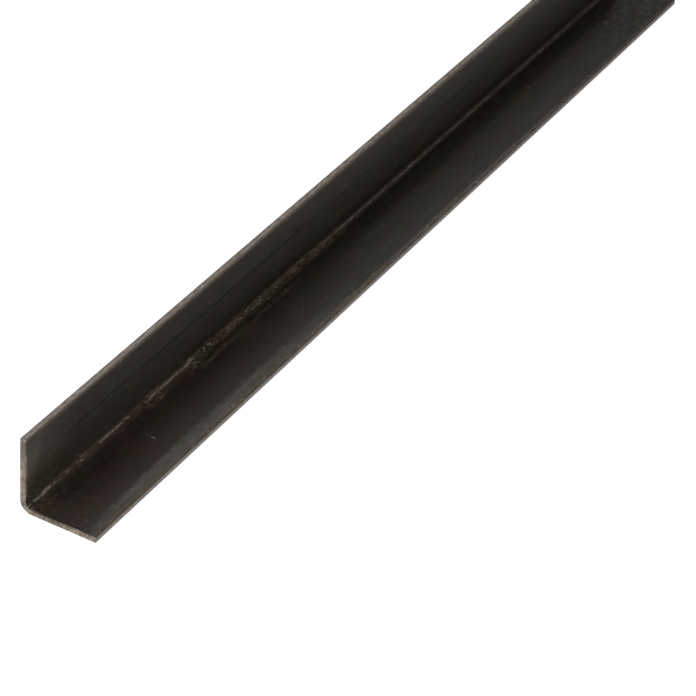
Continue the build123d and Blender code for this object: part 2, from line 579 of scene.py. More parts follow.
def outer_relief():
    """Depth of the outer faces, in mm and never negative: slow waves and the side rolls' lines."""
    waves = 0.012 * (1 + strip_noise(41, 40.0, 7.0)) * ramp(np.abs(ACROSS), 0.4, 2.0)
    lines = 0.02 * np.clip(1 - ((np.abs(ACROSS) - SIDE_ROLL_LINE) / 0.4) ** 2, 0, 1)
    return (waves + lines) * ramp(np.abs(ACROSS), TOE, TOE - 1.0) * on_outer


def toe_relief():
    """Depth of the slit faces, in mm and never negative: the blade's tear along the strip."""
    tear = 0.5 + 0.5 * random_field(51, ALONG, DEPTH, 1.6, 0.35)
    waves = 0.5 + 0.5 * random_field(52, ALONG, DEPTH, 14.0, 3.0)
    return (0.022 * tear**2 + 0.02 * waves) * (np.abs(ACROSS) > TOE - 1e-6)


inner_height = inner_relief()
outer_height = outer_relief()
toe_height = toe_relief()
print("relief, mm: inner", np.round([inner_height.min(), inner_height.max()], 3), "outer",
      round(float(outer_height.max()), 3), "toes", round(float(toe_height.max()), 3))

# %% Points of the skin
RAGGED_REACH = 0.35  # mm along, how far in from an end the saw tore the inner edge
out, towards_toe = bend_directions(loop_across)
section = bar_section(loop_across, loop_depth)
shift = -out[None] * (inner_height + outer_height)[..., None]
shift = shift - (np.sign(loop_across)[:, None] * towards_toe)[None] * toe_height[..., None]
ragged = 0.08 * strip_noise(61, 1.0, 0.7) * on_inner
at_ends = ramp(ALONG, RAGGED_REACH, 0.0) + ramp(ALONG, LENGTH - RAGGED_REACH, LENGTH)
shift = shift - out[None] * (ragged * at_ends)[..., None]
skin_xz = section[None] + shift
skin = np.stack([
    skin_xz[..., 0] - LEG / 2,
    np.broadcast_to(ALONG - LENGTH / 2, skin_xz.shape[:2]),
    skin_xz[..., 1],
], -1)
print("skin, mm:", np.round(skin.reshape(-1, 3).min(0), 3), np.round(skin.reshape(-1, 3).max(0), 3))

# %% [markdown]
# ## The sawn ends
#
# An end could be one flat many-sided face, but it would have no points for the saw's tracks. It is a
# second grid, across by depth, whose border is the last loop of the skin. Because the loop was made
# from the same lines, the border's points are the loop's own, and the skin closes.


# %% End grids that share the last loop
def cap_indices(ring_start, inside_start):
    """A grid of vertex numbers, across by depth: the border from the loop, the rest counted on."""
    grid = np.empty((n_across, n_depth), int)
    inside = (n_across - 2) * (n_depth - 2)
    grid[1:-1, 1:-1] = inside_start + np.arange(inside).reshape(n_across - 2, n_depth - 2)
    loop = ring_start + np.arange(len(loop_across))
    first, second, third = n_across, n_across + n_depth - 2, 2 * n_across + n_depth - 2
    grid[:, -1] = loop[:first]
    grid[-1, 1:-1] = loop[first:second][::-1]
    grid[:, 0] = loop[second:third][::-1]
    grid[0, 1:-1] = loop[third:]
    return grid


def quads(grid):
    """The four corners of every cell of a grid of vertex numbers, in order round the cell."""
    corners = [grid[:-1, :-1], grid[1:, :-1], grid[1:, 1:], grid[:-1, 1:]]
    return np.stack(corners, -1).reshape(-1, 4)


SAW_TRACK = 0.012  # mm, half the depth of the saw's deepest tracks
cap_across, cap_depth = np.meshgrid(across_lines[1:-1], depth_lines[1:-1], indexing="ij")
cap_xz = bar_section(cap_across, cap_depth)
saw_tracks = SAW_TRACK * (1 + random_field(71, cap_across * 0.9 + cap_depth, cap_depth, 0.45, 9.0))


def cap_points(y, into):
    """The inside points of an end at y, sunk into the steel by the saw's tracks."""
    y_values = np.full(cap_across.shape, y) + into * saw_tracks
    return np.stack([cap_xz[..., 0] - LEG / 2, y_values, cap_xz[..., 1]], -1).reshape(-1, 3)


near_points = cap_points(-LENGTH / 2, 1)
far_points = cap_points(LENGTH / 2, -1)
print("points inside each end:", len(near_points))

# %% All points and faces
n_rings, n_loop = skin.shape[:2]
numbers = np.arange(n_rings * n_loop).reshape(n_rings, n_loop)
wrapped = np.concatenate([numbers, numbers[:, :1]], 1)
near_cap = cap_indices(0, n_rings * n_loop)
far_cap = cap_indices((n_rings - 1) * n_loop, n_rings * n_loop + len(near_points))

points = np.concatenate([skin.reshape(-1, 3), near_points, far_points]) * MM
side_faces = quads(wrapped)[:, [0, 3, 2, 1]]  # turned over, so that they face outwards
near_faces = quads(near_cap)
far_faces = quads(far_cap)[:, ::-1]  # these are turned over too
faces = np.concatenate([side_faces, near_faces, far_faces])
print("points:", len(points), "triangles:", 2 * len(faces))

# %% [markdown]
# A skin is closed, and all its faces are turned the same way, when each edge is run once in one
# direction and once in the other. It is turned outwards when its volume comes out positive. Renders
# would hide a skin that is inside out, because they light both sides of a face, but an STL file
# of it would be wrong.

# %% Is the skin closed, and turned outwards?
edges = np.stack([faces, np.roll(faces, -1, axis=1)], -1).reshape(-1, 2)
one_way = edges @ [len(points), 1]
other_way = edges @ [1, len(points)]
print("edges run twice the same way:", len(one_way) - len(np.unique(one_way)),
      "edges without a partner:", len(np.setdiff1d(one_way, other_way)))
triangle = points[faces[:, [0, 1, 2, 0, 2, 3]]].reshape(-1, 3, 3)
volume = np.einsum("ij,ij->i", triangle[:, 0], np.cross(triangle[:, 1], triangle[:, 2])).sum() / 6
print("volume, mm3:", round(float(volume) / MM**3, 1), "(positive: faces point outwards)")

# %% [markdown]
# ## Into the mesh
#
# foreach_set hands whole arrays to Blender. from_pydata would make the same mesh, but it takes
# lists, one Python number at a time. The strip coordinates and the fields of wear go along as
# attributes, one value per point, for the materials to read.


# %% Build the mesh
def make_mesh(name, points, faces):
    """A mesh of quads with smooth shading."""
    mesh = bpy.data.meshes.new(name)
    mesh.vertices.add(len(points))
    mesh.vertices.foreach_set("co", points.astype(np.float32).ravel())
    mesh.loops.add(faces.size)
    mesh.loops.foreach_set("vertex_index", faces.astype(np.int32).ravel())
    mesh.polygons.add(len(faces))
    mesh.polygons.foreach_set("loop_start", np.arange(0, faces.size, 4, dtype=np.int32))
    mesh.polygons.foreach_set("use_smooth", np.ones(len(faces), bool))
    mesh.update(calc_edges=True)
    mesh.validate()
    return mesh


bar_mesh = make_mesh("rolled_angle", points, faces)
rolled_angle = bpy.data.objects.new("rolled_angle", bar_mesh)
bpy.context.scene.collection.objects.link(rolled_angle)
print("mesh:", len(bar_mesh.vertices), "points,", len(bar_mesh.polygons), "quads")

# %% Strip coordinates and fields of wear, point by point
FIELDS = {  # the fields above, tarnish, where rubbed steel went to straw, and the outer faces
    "pressed": pressed,
    "crushed": crushed,
    "crystals": crystals,
    "rubbed": rubbed,
    "tarnish": np.broadcast_to(ramp(ALONG, 150, 230), skin.shape[:2]),
    "stain_and_shade": stain_and_shade,
    "rust": rust,
    "bloom_and_painted_light": bloom_and_painted_light,
    "worn_and_sheen": worn_and_sheen,
    "mark": mark,
    "filed_and_painted_light": filed_and_painted_light,
    "far_mottle": far_mottle,
    "grainy": grainy,
    "retreat": np.broadcast_to(retreat, skin.shape[:2]),
    "outside": np.broadcast_to(on_outer, skin.shape[:2]),
}


def add_field(mesh, name, values):
    """Stores one number per point, 0 on the inside points of the ends."""
    attribute = mesh.attributes.new(name, "FLOAT", "POINT")
    padded = np.zeros(len(mesh.vertices), np.float32)
    padded[: values.size] = values.ravel()
    attribute.data.foreach_set("value", padded)


strip = np.stack(np.broadcast_arrays(ALONG, ACROSS, DEPTH), -1).reshape(-1, 3)
cap_strip = np.stack([np.zeros_like(cap_across), cap_across, cap_depth], -1).reshape(-1, 3)
strip = np.concatenate([strip, cap_strip, cap_strip + [LENGTH, 0, 0]])
strip_attribute = bar_mesh.attributes.new("strip", "FLOAT_VECTOR", "POINT")
strip_attribute.data.foreach_set("vector", strip.astype(np.float32).ravel())
for name, values in FIELDS.items():
    add_field(bar_mesh, name, values)
print("attributes:", len(FIELDS) + 1)

# %% [markdown]
# ## Colours and nodes
#
# Colours are written as the sRGB hex values that a swatch shows and turned to linear light by one
# function. One more function adds a node, with its settings and the links into it.


# %% Helpers for materials
def linear(code):
    """An sRGB hex colour as linear RGBA: v / 12.92 near black, ((v + 0.055) / 1.055)^2.4 above."""
    value = np.array([int(code[i : i + 2], 16) for i in (1, 3, 5)]) / 255
    value = np.where(value <= 0.04045, value / 12.92, ((value + 0.055) / 1.055) ** 2.4)
    return (*[float(v) for v in value], 1.0)


def add(tree, kind, inputs=None, **settings):
    """Adds one node. Settings are its properties, and an input takes a plain value or a link."""
    node = tree.nodes.new("ShaderNode" + kind)
    for name, value in settings.items():
        setattr(node, name, value)
    for name, value in (inputs or {}).items():
        if isinstance(value, bpy.types.NodeSocket):
            tree.links.new(value, node.inputs[name])
        else:
            node.inputs[name].default_value = value
    return node


def new_material(name):
    """A material with an empty node tree."""
    material = bpy.data.materials.new(name)
    material.use_nodes = True
    material.node_tree.nodes.clear()
    return material, material.node_tree


print("mill scale black is", [round(v, 4) for v in linear("#292822")[:3]])

# %% [markdown]
# ## Mill scale
#
# Scale is the iron oxide skin of hot-rolled steel: blue-black magnetite with a little red-brown
# hematite, some hundredths of a millimetre thick. It isn't a metal to the eye but a dark, half
# glossy mineral, so the shader stays non-metallic. Rolling draws its mottling out along the strip.
# Scales come from the real sizes: streaks 0.6 mm wide and 25 mm long, clouds 5 mm wide and 14 mm
# long, and grain of 0.5 mm, which is coarser than real scale so that it shows.
#
# An image could carry all this, but it would blur close up. Noise laid on the flat strip bends
# round the root with the steel, as the real mottling did. The material is painted in layers, each
# a pattern, two of its values and a colour.


# %% Patterns on the flat strip, and paint in layers
def strip_pattern(tree, kind, long, wide, **inputs):
    """A texture laid on the flat strip before it was bent, with grains of about long x wide mm."""
    place = add(tree, "Attribute", attribute_name="strip").outputs["Vector"]
    scale = (1 / long, 1 / wide, 1 / wide)
    scaled = add(tree, "Mapping", {"Vector": place, "Scale": scale}).outputs["Vector"]
    return add(tree, kind, {"Vector": scaled, "Scale": 1.0, **inputs})


def painted(tree, ground, layers, blend="MIX"):
    """A ground colour under layers, each with a pattern, two of its values, a share and a colour.

    A layer's share rises from 0 where the pattern has the first value to its most at the second.
    With blend "MULTIPLY" the layers are clear glazes, and their colours multiply what is below. The
    Mix node's colours are its inputs 6 and 7 and its output 2.
    """
    colour = linear(ground) if isinstance(ground, str) else ground
    for pattern, bare, full, most, tint in layers:
        tint = linear(tint) if isinstance(tint, str) else tint
        levels = {"Value": pattern, "From Min": bare, "From Max": full, "To Max": most}
        share = add(tree, "MapRange", levels).outputs["Result"]
        mixed = add(tree, "Mix", {0: share, 6: colour, 7: tint}, data_type="RGBA", blend_type=blend)
        colour = mixed.outputs[2]
    return colour


mill_scale, tree = new_material("mill_scale_on_rolled_steel")
print("first material:", mill_scale.name)

# %% Patterns of the scale
streaks = strip_pattern(tree, "TexNoise", 25.0, 0.6, Detail=3.0).outputs["Fac"]
scuffs = strip_pattern(tree, "TexNoise", 70.0, 0.35, Detail=2.0).outputs["Fac"]
clouds = strip_pattern(tree, "TexNoise", 14.0, 5.0, Detail=3.0).outputs["Fac"]
mottle = strip_pattern(tree, "TexNoise", 2.6, 1.6, Detail=4.0).outputs["Fac"]
specks = strip_pattern(tree, "TexNoise", 1.3, 0.9, Detail=3.0).outputs["Fac"]
grain = strip_pattern(tree, "TexNoise", 0.55, 0.45, Detail=2.0).outputs["Fac"]
tints = strip_pattern(tree, "TexNoise", 8.0, 4.5, Detail=1.0).outputs["Fac"]
temper = strip_pattern(tree, "TexNoise", 5.0, 3.4, Detail=3.0).outputs["Fac"]
lustre = strip_pattern(tree, "TexNoise", 4.6, 4.0, Detail=3.0).outputs["Fac"]
print("patterns so far:", len(tree.nodes) // 3)

# %% [markdown]
# The toes are bare for a millimetre or two, because the slitter and the side rolls chipped the scale
# off. The edge of that bare strip is *uneven*, so the mottle moves it in and out a little.

# %% The fields of wear, and the distance from the toes with an uneven edge
marks = {name: add(tree, "Attribute", attribute_name=name).outputs["Fac"] for name in FIELDS}
scale_place = add(tree, "Attribute", attribute_name="strip").outputs["Vector"]
scale_axes = add(tree, "SeparateXYZ", {"Vector": scale_place}).outputs
along, across = scale_axes["X"], scale_axes["Y"]
uneven = {"Value": mottle, "From Min": 0.3, "From Max": 0.7, "To Min": -0.35, "To Max": 0.35}
uneven = add(tree, "MapRange", uneven).outputs["Result"]
side = add(tree, "Math", {0: across, 1: uneven}, operation="ADD").outputs["Value"]
to_toe = add(tree, "Math", {0: across}, operation="ABSOLUTE").outputs["Value"]
to_toe = add(tree, "Math", {0: to_toe, 1: uneven}, operation="ADD").outputs["Value"]
print("fields of wear:", *marks)

# %% [markdown]
# The plain scale comes first. A side roll has *polished* a strip beside the foot's toe: rubbed scale is a
# cooler, paler grey, with fine bright grain, and part of that paleness is a painted sheen that fades out
# towards the far end. The polish starts 13.8 mm from the middle of the root, and towards the near end it
# narrows by 1.6 mm.

# %% Plain scale, with tints, roll polish and its painted sheen, stains and painted shade
WORN_EDGE = 13.8  # across, in mm, where the polished strip starts
WORN_FULL = 15.4  # across, in mm, where it is complete
NARROWING = 1.6  # mm, over the 22 mm before the near end
polished = painted(tree, "#3f3b36", (
    (streaks, 0.38, 0.66, 0.8, "#58544d"),
    (specks, 0.45, 0.25, 0.6, "#35322d"),
    (mottle, 0.56, 0.68, 0.5, "#66635d"),
    (grain, 0.62, 0.72, 0.6, "#82807b"),
))
narrows = {"Value": along, "From Min": 22.0, "From Max": 0.0, "To Max": NARROWING}
narrows = add(tree, "MapRange", narrows).outputs["Result"]
worn_and_sheen_strip = add(tree, "Math", {0: side, 1: narrows}, operation="SUBTRACT").outputs["Value"]
worn_and_sheen_strip = {"Value": worn_and_sheen_strip, "From Min": WORN_EDGE, "From Max": WORN_FULL}
worn_and_sheen_strip = add(tree, "MapRange", worn_and_sheen_strip).outputs["Result"]
worn_and_sheen_strip = {0: worn_and_sheen_strip, 1: marks["worn_and_sheen"]}
worn_and_sheen_strip = add(tree, "Math", worn_and_sheen_strip, operation="MULTIPLY").outputs["Value"]
scale = painted(tree, "#292822", (
    (clouds, 0.35, 0.65, 1.0, "#22211c"),  # thicker, blacker oxide
    (streaks, 0.40, 0.70, 0.4, "#2f2d27"),  # thinner oxide, drawn out along
    (tints, 0.50, 0.68, 0.4, "#332823"),  # a little more hematite, so redder
    (tints, 0.50, 0.32, 0.4, "#252b25"),  # a little less, so greener
    # paler: dry oxide and painted light
    (marks["bloom_and_painted_light"], 0.0, 1.0, 1.0, "#36322c"),
    (marks["rust"], 0.0, 1.0, 1.0, "#2b1f1a"),
    # the polished strip, paler with its painted sheen
    (worn_and_sheen_strip, 0.0, 1.0, 1.0, polished),
    (across, -11.5, -16.5, 1.0, "#1a0f04"),  # painted shade, darker high on the upright leg
    # darker: stain and painted shade
    (marks["stain_and_shade"], 0.0, 1.0, 0.9, "#1d160c"),
))
print("nodes so far:", len(tree.nodes))

# %% [markdown]
# The outer faces lay open in the stack, and so did the far end. Dry patches have gone brown there,
# others stayed black, and long scuffs show grey. On the outer faces each of these is a noise times
# the field *outside*, so that it is nothing anywhere else.

# %% Weathering of the outer faces and of the far end
pale = add(tree, "Math", {0: mottle, 1: marks["far_mottle"]}, operation="MULTIPLY").outputs["Value"]
weathered = strip_pattern(tree, "TexNoise", 30.0, 7.0, Detail=5.0).outputs["Fac"]
weathered = {"Value": weathered, "To Min": -1.0, "To Max": 1.0}
weathered = add(tree, "MapRange", weathered).outputs["Result"]
weathered = {0: weathered, 1: marks["outside"]}
weathered = add(tree, "Math", weathered, operation="MULTIPLY").outputs["Value"]
scuffed = add(tree, "Math", {0: scuffs, 1: marks["outside"]}, operation="MULTIPLY").outputs["Value"]
rolled = strip_pattern(tree, "TexNoise", 120.0, 1.1, Detail=3.0).outputs["Fac"]
rolled = {"Value": rolled, "From Min": 0.2, "From Max": 0.8, "To Min": -2.0, "To Max": 2.0}
rolled = add(tree, "MapRange", rolled).outputs["Result"]
rolled = add(tree, "Math", {0: rolled, 1: marks["outside"]}, operation="MULTIPLY").outputs["Value"]
dark = add(tree, "Math", {0: marks["far_mottle"], 1: mottle}, operation="SUBTRACT").outputs["Value"]
scale = painted(tree, scale, (
    (pale, 0.46, 0.60, 0.6, "#403e38"),
    (dark, 0.47, 0.59, 0.9, "#151410"),
    (weathered, 0.02, 0.30, 0.9, "#3b322a"),
    (weathered, -0.02, -0.30, 0.9, "#171613"),
    (rolled, 0.50, 0.75, 0.6, "#3f3d38"),
    (rolled, -0.50, -0.75, 0.6, "#161512"),
    (scuffed, 0.62, 0.72, 0.7, "#5d5952"),
))
print("nodes so far:", len(tree.nodes))

# %% Grain, the roll mark and the filed patch
deep_grain = {"Value": grain, "From Min": 0.28, "From Max": 0.72, "To Min": -1.0, "To Max": 1.0}
deep_grain = add(tree, "MapRange", deep_grain).outputs["Result"]
deep_grain = {0: deep_grain, 1: marks["grainy"]}
deep_grain = add(tree, "Math", deep_grain, operation="MULTIPLY").outputs["Value"]
filed_scale = painted(tree, "#4e4942", (
    (mottle, 0.50, 0.68, 0.5, "#3f3a34"),
    (specks, 0.52, 0.70, 0.5, "#5f5a52"),
))
scale = painted(tree, scale, (
    (specks, 0.52, 0.75, 0.35, "#403d36"),
    (specks, 0.48, 0.25, 0.30, "#191814"),
    (deep_grain, 0.10, 1.00, 1.0, "#4b4841"),
    (deep_grain, -0.10, -1.00, 1.0, "#11100d"),
    (marks["mark"], 0.0, 1.0, 1.0, "#12110f"),
    (marks["filed_and_painted_light"], 0.0, 1.0, 0.8, filed_scale),
))
print("nodes so far:", len(tree.nodes))

# %% [markdown]
# Where oxide is thinner than light's own waves it shows faint colours, as tempered steel does:
# straw, blue, green and mauve. They are clear glazes over what is below. Where a roll or the file
# took the thin oxide away, the unglazed colour is mixed back.

# %% Faint temper colours
glazed = painted(tree, scale, (
    (temper, 0.50, 0.68, 1.0, "#fffadc"),  # straw
    (temper, 0.50, 0.32, 1.0, "#e6f6ff"),  # blue
    (lustre, 0.50, 0.68, 1.0, "#eefff0"),  # green
    (lustre, 0.50, 0.32, 1.0, "#ffe8ff"),  # mauve
), blend="MULTIPLY")
scale = painted(tree, glazed, (
    (worn_and_sheen_strip, 0.0, 1.0, 0.6, scale),
    (marks["filed_and_painted_light"], 0.0, 0.6, 0.8, scale),
))
print("layers on the plain scale:", sum(node.bl_idname == "ShaderNodeMix" for node in tree.nodes))

# %% [markdown]
# Granules are cells of a Voronoi pattern, domed where the distance from the cell's middle is small.
# They could be small stones strewn along the root, but real ones are flakes that still belong to
# the skin, and a pattern follows it. Each cell's random colour says how well it catches the light,
# and the field *crushed* how far the scale is broken at all. Real granules are 0.3 to 0.8 mm and lie
# in all sizes. The cells are 0.9 by 0.6 mm, the coarse ones, which are those that show. The least
# lucky cells stay as dark as the gaps: there the granule has fallen out.

# %% Granules
beads = strip_pattern(tree, "TexVoronoi", 0.90, 0.62, Randomness=0.75)
chance = add(tree, "SeparateColor", {"Color": beads.outputs["Color"]}).outputs["Red"]
dome = {"Value": beads.outputs["Distance"], "From Min": 0.50, "From Max": 0.10}
dome = add(tree, "MapRange", dome).outputs["Result"]
dome = add(tree, "Math", {0: dome, 1: marks["crushed"]}, operation="MULTIPLY").outputs["Value"]
glow = add(tree, "MapRange", {"Value": chance, "To Min": 0.40}).outputs["Result"]
glow = add(tree, "Math", {0: dome, 1: glow}, operation="MULTIPLY").outputs["Value"]
granules = painted(tree, "#1f1710", (
    (beads.outputs["Distance"], 0.66, 0.40, 1.0, "#4b4035"),
    (tints, 0.50, 0.64, 0.4, "#494936"),
    (tints, 0.50, 0.36, 0.5, "#57463c"),
    (grain, 0.50, 0.70, 0.5, "#5a4e3f"),
    (chance, 0.26, 0.10, 0.6, "#1f1710"),  # granules that have fallen out
    (glow, 0.10, 0.50, 0.75, "#736755"),  # painted highlight on the domes' tops
    (glow, 0.55, 0.72, 1.0, "#b8ac98"),  # the few that catch the light
))
print("nodes so far:", len(tree.nodes))

# %% [markdown]
# Scale that the roll flattened is a thin brown film with the steel's grey coming through in specks.
# On the toes the steel itself is bare: grey, stained brown in the air, darker at both ends.

# %% Flattened scale and bare toes
flattened = painted(tree, "#40342d", (
    (tints, 0.50, 0.64, 0.5, "#3d3728"),
    (tints, 0.50, 0.36, 0.5, "#483432"),
    (grain, 0.35, 0.65, 0.8, "#57493f"),
    (specks, 0.60, 0.72, 0.4, "#7a6b61"),
))
toes = painted(tree, "#564b40", (
    (along, 110.0, 200.0, 0.6, "#4e4841"),  # greyer in the far half
    (across, 1.0, -1.0, 1.0, "#523f2c"),  # browner on the upright leg
    (along, 110.0, 60.0, 0.12, "#2f261d"),
    (mottle, 0.40, 0.65, 0.7, "#3b332b"),
    (specks, 0.58, 0.72, 0.6, "#857a6c"),  # steel through the stain
    (along, 28.0, 10.0, 0.4, "#3b3128"),
    (along, 220.0, 270.0, 0.4, "#332f29"),
    (side, TOE - 0.5, TOE - 0.1, 0.2, "#2f261d"),  # the foot's arris
))
foot_toe = {0: side, 1: marks["retreat"]}
foot_toe = add(tree, "Math", foot_toe, operation="SUBTRACT").outputs["Value"]
print("nodes so far:", len(tree.nodes))

# %% [markdown]
# Steel that a roll rubbed bright is torn into short streaks, so grain thins it out. In the far half
# it has tarnished to straw. *Crystals* are single glints among the granules: cells of a finer
# Voronoi pattern, of which only the luckiest third show. Real ones are 0.1 mm and would not show,
# so the cells are 0.36 by 0.30 mm.

# %% Rubbed steel and glinting crystals
torn = {"Value": grain, "From Min": 0.3, "From Max": 0.6, "To Min": 0.45, "To Max": 1.0}
torn = add(tree, "MapRange", torn).outputs["Result"]
rubbed_steel = {0: marks["rubbed"], 1: torn}
rubbed_steel = add(tree, "Math", rubbed_steel, operation="MULTIPLY").outputs["Value"]
bright_steel = painted(tree, "#c4b5a6", ((marks["tarnish"], 0.0, 1.0, 1.0, "#a39580"),))
sand = strip_pattern(tree, "TexVoronoi", 0.36, 0.30)
shine = add(tree, "SeparateColor", {"Color": sand.outputs["Color"]}).outputs["Red"]
shine = add(tree, "MapRange", {"Value": shine, "From Min": 0.68, "From Max": 1.0}).outputs["Result"]
shine = add(tree, "Math", {0: shine, 1: marks["crystals"]}, operation="MULTIPLY").outputs["Value"]
body = {"Value": sand.outputs["Distance"], "From Min": 0.50, "From Max": 0.25}
body = add(tree, "MapRange", body).outputs["Result"]
shine = add(tree, "Math", {0: shine, 1: body}, operation="MULTIPLY").outputs["Value"]
print("nodes so far:", len(tree.nodes))

# %% All coats, one over the other
colour = painted(tree, scale, (
    (marks["pressed"], 0.0, 1.0, 0.9, flattened),
    (marks["crushed"], 0.02, 0.38, 1.0, granules),
    (shine, 0.0, 0.8, 1.0, "#958c7c"),
    (to_toe, TOE - 1.2, TOE - 0.5, 1.0, toes),
    (foot_toe, TOE - 1.7, TOE - 0.9, 1.0, toes),
    (rubbed_steel, 0.0, 1.0, 1.0, bright_steel),
))
print("nodes so far:", len(tree.nodes))

# %% [markdown]
# A bar that has been carried about also has a few nicks. They could be cut into the mesh, but most
# are finer than its cells, so the material draws them. A table gives each its place on the strip,
# its turn and its size, and a Mapping node in texture mode makes it a unit circle, so the distance
# from its middle is all that is left to ask.

# %% Nicks and scratches
NICKS = (  # along, across, length, width in mm, turn in degrees, strength, depth: WALL inside, 0 out
    (37.1, 8.9, 1.8, 0.45, 86, 0.60, WALL),
    (37.2, 7.2, 2.2, 0.30, 84, 0.25, WALL),
    (31.8, 9.2, 0.8, 0.35, 30, 0.22, WALL),
    (33.2, -10.2, 0.9, 0.40, 80, 0.25, WALL),
    (32.4, -6.2, 1.4, 0.30, 60, 0.15, WALL),
    (3.6, 13.5, 0.6, 0.35, 40, 0.30, WALL),
    (18.6, 15.4, 0.8, 0.40, 70, 0.45, WALL),
    (36.2, 15.0, 1.0, 0.50, 20, 0.30, WALL),
    (58.0, 15.8, 1.0, 0.45, 50, 0.35, WALL),
    (124.3, 17.0, 1.0, 0.50, 60, 0.60, WALL),
    (229.0, 6.5, 0.9, 0.80, 40, 0.40, WALL),
    (248.0, 8.0, 1.6, 2.00, 0, 0.12, WALL),
    (249.0, 8.6, 2.4, 0.60, 80, 0.10, WALL),
    (275.0, 8.0, 2.6, 2.40, 0, 0.12, WALL),
    (277.5, 8.6, 3.4, 0.70, 70, 0.10, WALL),
    (16.0, -12.6, 2.6, 0.35, 70, 0.45, 0.0),
    (18.2, -11.9, 1.4, 0.30, 76, 0.30, 0.0),
    (61.0, -6.5, 0.9, 0.70, 20, 0.40, 0.0),
    (92.0, -14.8, 5.5, 0.30, 8, 0.30, 0.0),
    (141.0, -9.8, 1.2, 0.80, 50, 0.35, 0.0),
    (178.0, -13.5, 9.0, 0.28, -6, 0.30, 0.0),
    (186.0, -12.9, 4.0, 0.25, -7, 0.20, 0.0),
    (233.0, -5.2, 1.6, 0.50, 60, 0.35, 0.0),
    (281.0, -15.6, 1.0, 0.80, 30, 0.45, 0.0),
    (24.0, 12.0, 3.0, 0.40, 62, 0.40, 0.0),
    (83.0, 7.2, 8.0, 0.30, 4, 0.30, 0.0),
    (127.0, 14.1, 1.2, 0.70, 45, 0.40, 0.0),
    (204.0, 10.3, 6.0, 0.30, -9, 0.30, 0.0),
    (262.0, 5.6, 1.4, 0.90, 20, 0.35, 0.0),
)
nicked = 0.0  # the strongest nick so far
for nick_along, nick_across, length, width, slant, strength, nick_depth in NICKS:
    ellipse = {"Vector": scale_place, "Location": (nick_along, nick_across, nick_depth)}
    ellipse["Rotation"] = (0, 0, math.radians(slant))
    ellipse["Scale"] = (length / 2, width / 2, 1)
    ellipse = add(tree, "Mapping", ellipse, vector_type="TEXTURE").outputs["Vector"]
    nick = add(tree, "VectorMath", {0: ellipse}, operation="LENGTH").outputs["Value"]
    nick = {"Value": nick, "From Min": 1.0, "From Max": 0.3, "To Max": strength}
    nick = add(tree, "MapRange", nick).outputs["Result"]
    nicked = add(tree, "Math", {0: nick, 1: nicked}, operation="MAXIMUM").outputs["Value"]
colour = painted(tree, colour, ((nicked, 0.0, 1.0, 1.0, "#a39b8f"),))
print("nicks:", len(NICKS))

# %% [markdown]
# Mill scale is half glossy: a roughness near 0.34, mottled on the foot leg and a little lower near
# the upright leg's toe, where oil fills the grain. What reflects is mostly the film of mill oil, so
# the IOR is close to an oil's. Only the rubbed steel is metallic. Domes and grain also tilt the
# light by a bump of 0.03 mm, which is finer than the mesh can carry.

# %% Gloss and relief of the scale
rough = {"Value": grain, "From Min": 0.3, "From Max": 0.7, "To Min": 0.31, "To Max": 0.37}
rough = add(tree, "MapRange", rough).outputs["Result"]
uneven_gloss = {"Value": mottle, "From Min": 0.3, "From Max": 0.7, "To Min": -0.02, "To Max": 0.02}
uneven_gloss = add(tree, "MapRange", uneven_gloss).outputs["Result"]
oiled = {"Value": across, "From Min": -11.0, "From Max": -16.0, "To Max": -0.02}
oiled = add(tree, "MapRange", oiled).outputs["Result"]
rough = add(tree, "Math", {0: rough, 1: oiled}, operation="ADD").outputs["Value"]
on_foot = {"Value": across, "From Min": -2.0, "From Max": 4.0}
on_foot = add(tree, "MapRange", on_foot).outputs["Result"]
rough = {0: uneven_gloss, 1: on_foot, 2: rough}
rough = add(tree, "Math", rough, operation="MULTIPLY_ADD").outputs["Value"]
metal = add(tree, "Math", {0: rubbed_steel, 1: 0.7}, operation="MULTIPLY").outputs["Value"]
bump = add(tree, "Math", {0: dome, 1: 3.0, 2: grain}, operation="MULTIPLY_ADD").outputs["Value"]
bump = {"Height": bump, "Strength": 0.35, "Distance": 0.03 * MM}
shader = {"Base Color": colour, "Roughness": rough, "Metallic": metal, "IOR": 1.45}
shader["Normal"] = add(tree, "Bump", bump).outputs["Normal"]
shader = add(tree, "BsdfPrincipled", shader).outputs["BSDF"]
add(tree, "OutputMaterial", {"Surface": shader})
print(mill_scale.name, "has", len(tree.nodes), "nodes")

# %% [markdown]
# ## Slit edges
#
# The slitting knives cut a third of the way and tear the rest, so the two toes are bare grey steel
# with the tear's marks along them, tarnished brown here and there. Bare steel is a metal, but a
# fine tear scatters light, so the shader is metallic in part only, and rougher than scale. An
# anisotropic gloss would stretch the light evenly all along, and a tear is never even, so its marks
# are noise, 0.25 mm wide and 2 mm long. On the foot's toe the drawn side has gone dark, and the whole
# face is darkened with painted shade. Its lower side gets more painted shade where it meets the table.
# *drawn* and *toe_underside_shade* grow with the distance across, so that the upright leg's toe, where it
# is negative, has neither.

# %% Slit edges
slit_edge, tree = new_material("slit_edge_of_mild_steel")
tears = strip_pattern(tree, "TexNoise", 2.2, 0.25, Detail=4.0).outputs["Fac"]
browned = strip_pattern(tree, "TexNoise", 2.6, 1.4, Detail=4.0).outputs["Fac"]
slit_place = add(tree, "Attribute", attribute_name="strip").outputs["Vector"]
slit_axes = add(tree, "SeparateXYZ", {"Vector": slit_place}).outputs
rising = {"Value": slit_axes["X"], "From Min": 20.0, "From Max": 220.0, "To Min": 0.16, "To Max": 0.42}
rising = add(tree, "MapRange", rising).outputs["Result"]
rising = {0: slit_axes["Z"], 1: rising}
rising = add(tree, "Math", rising, operation="ADD").outputs["Value"]
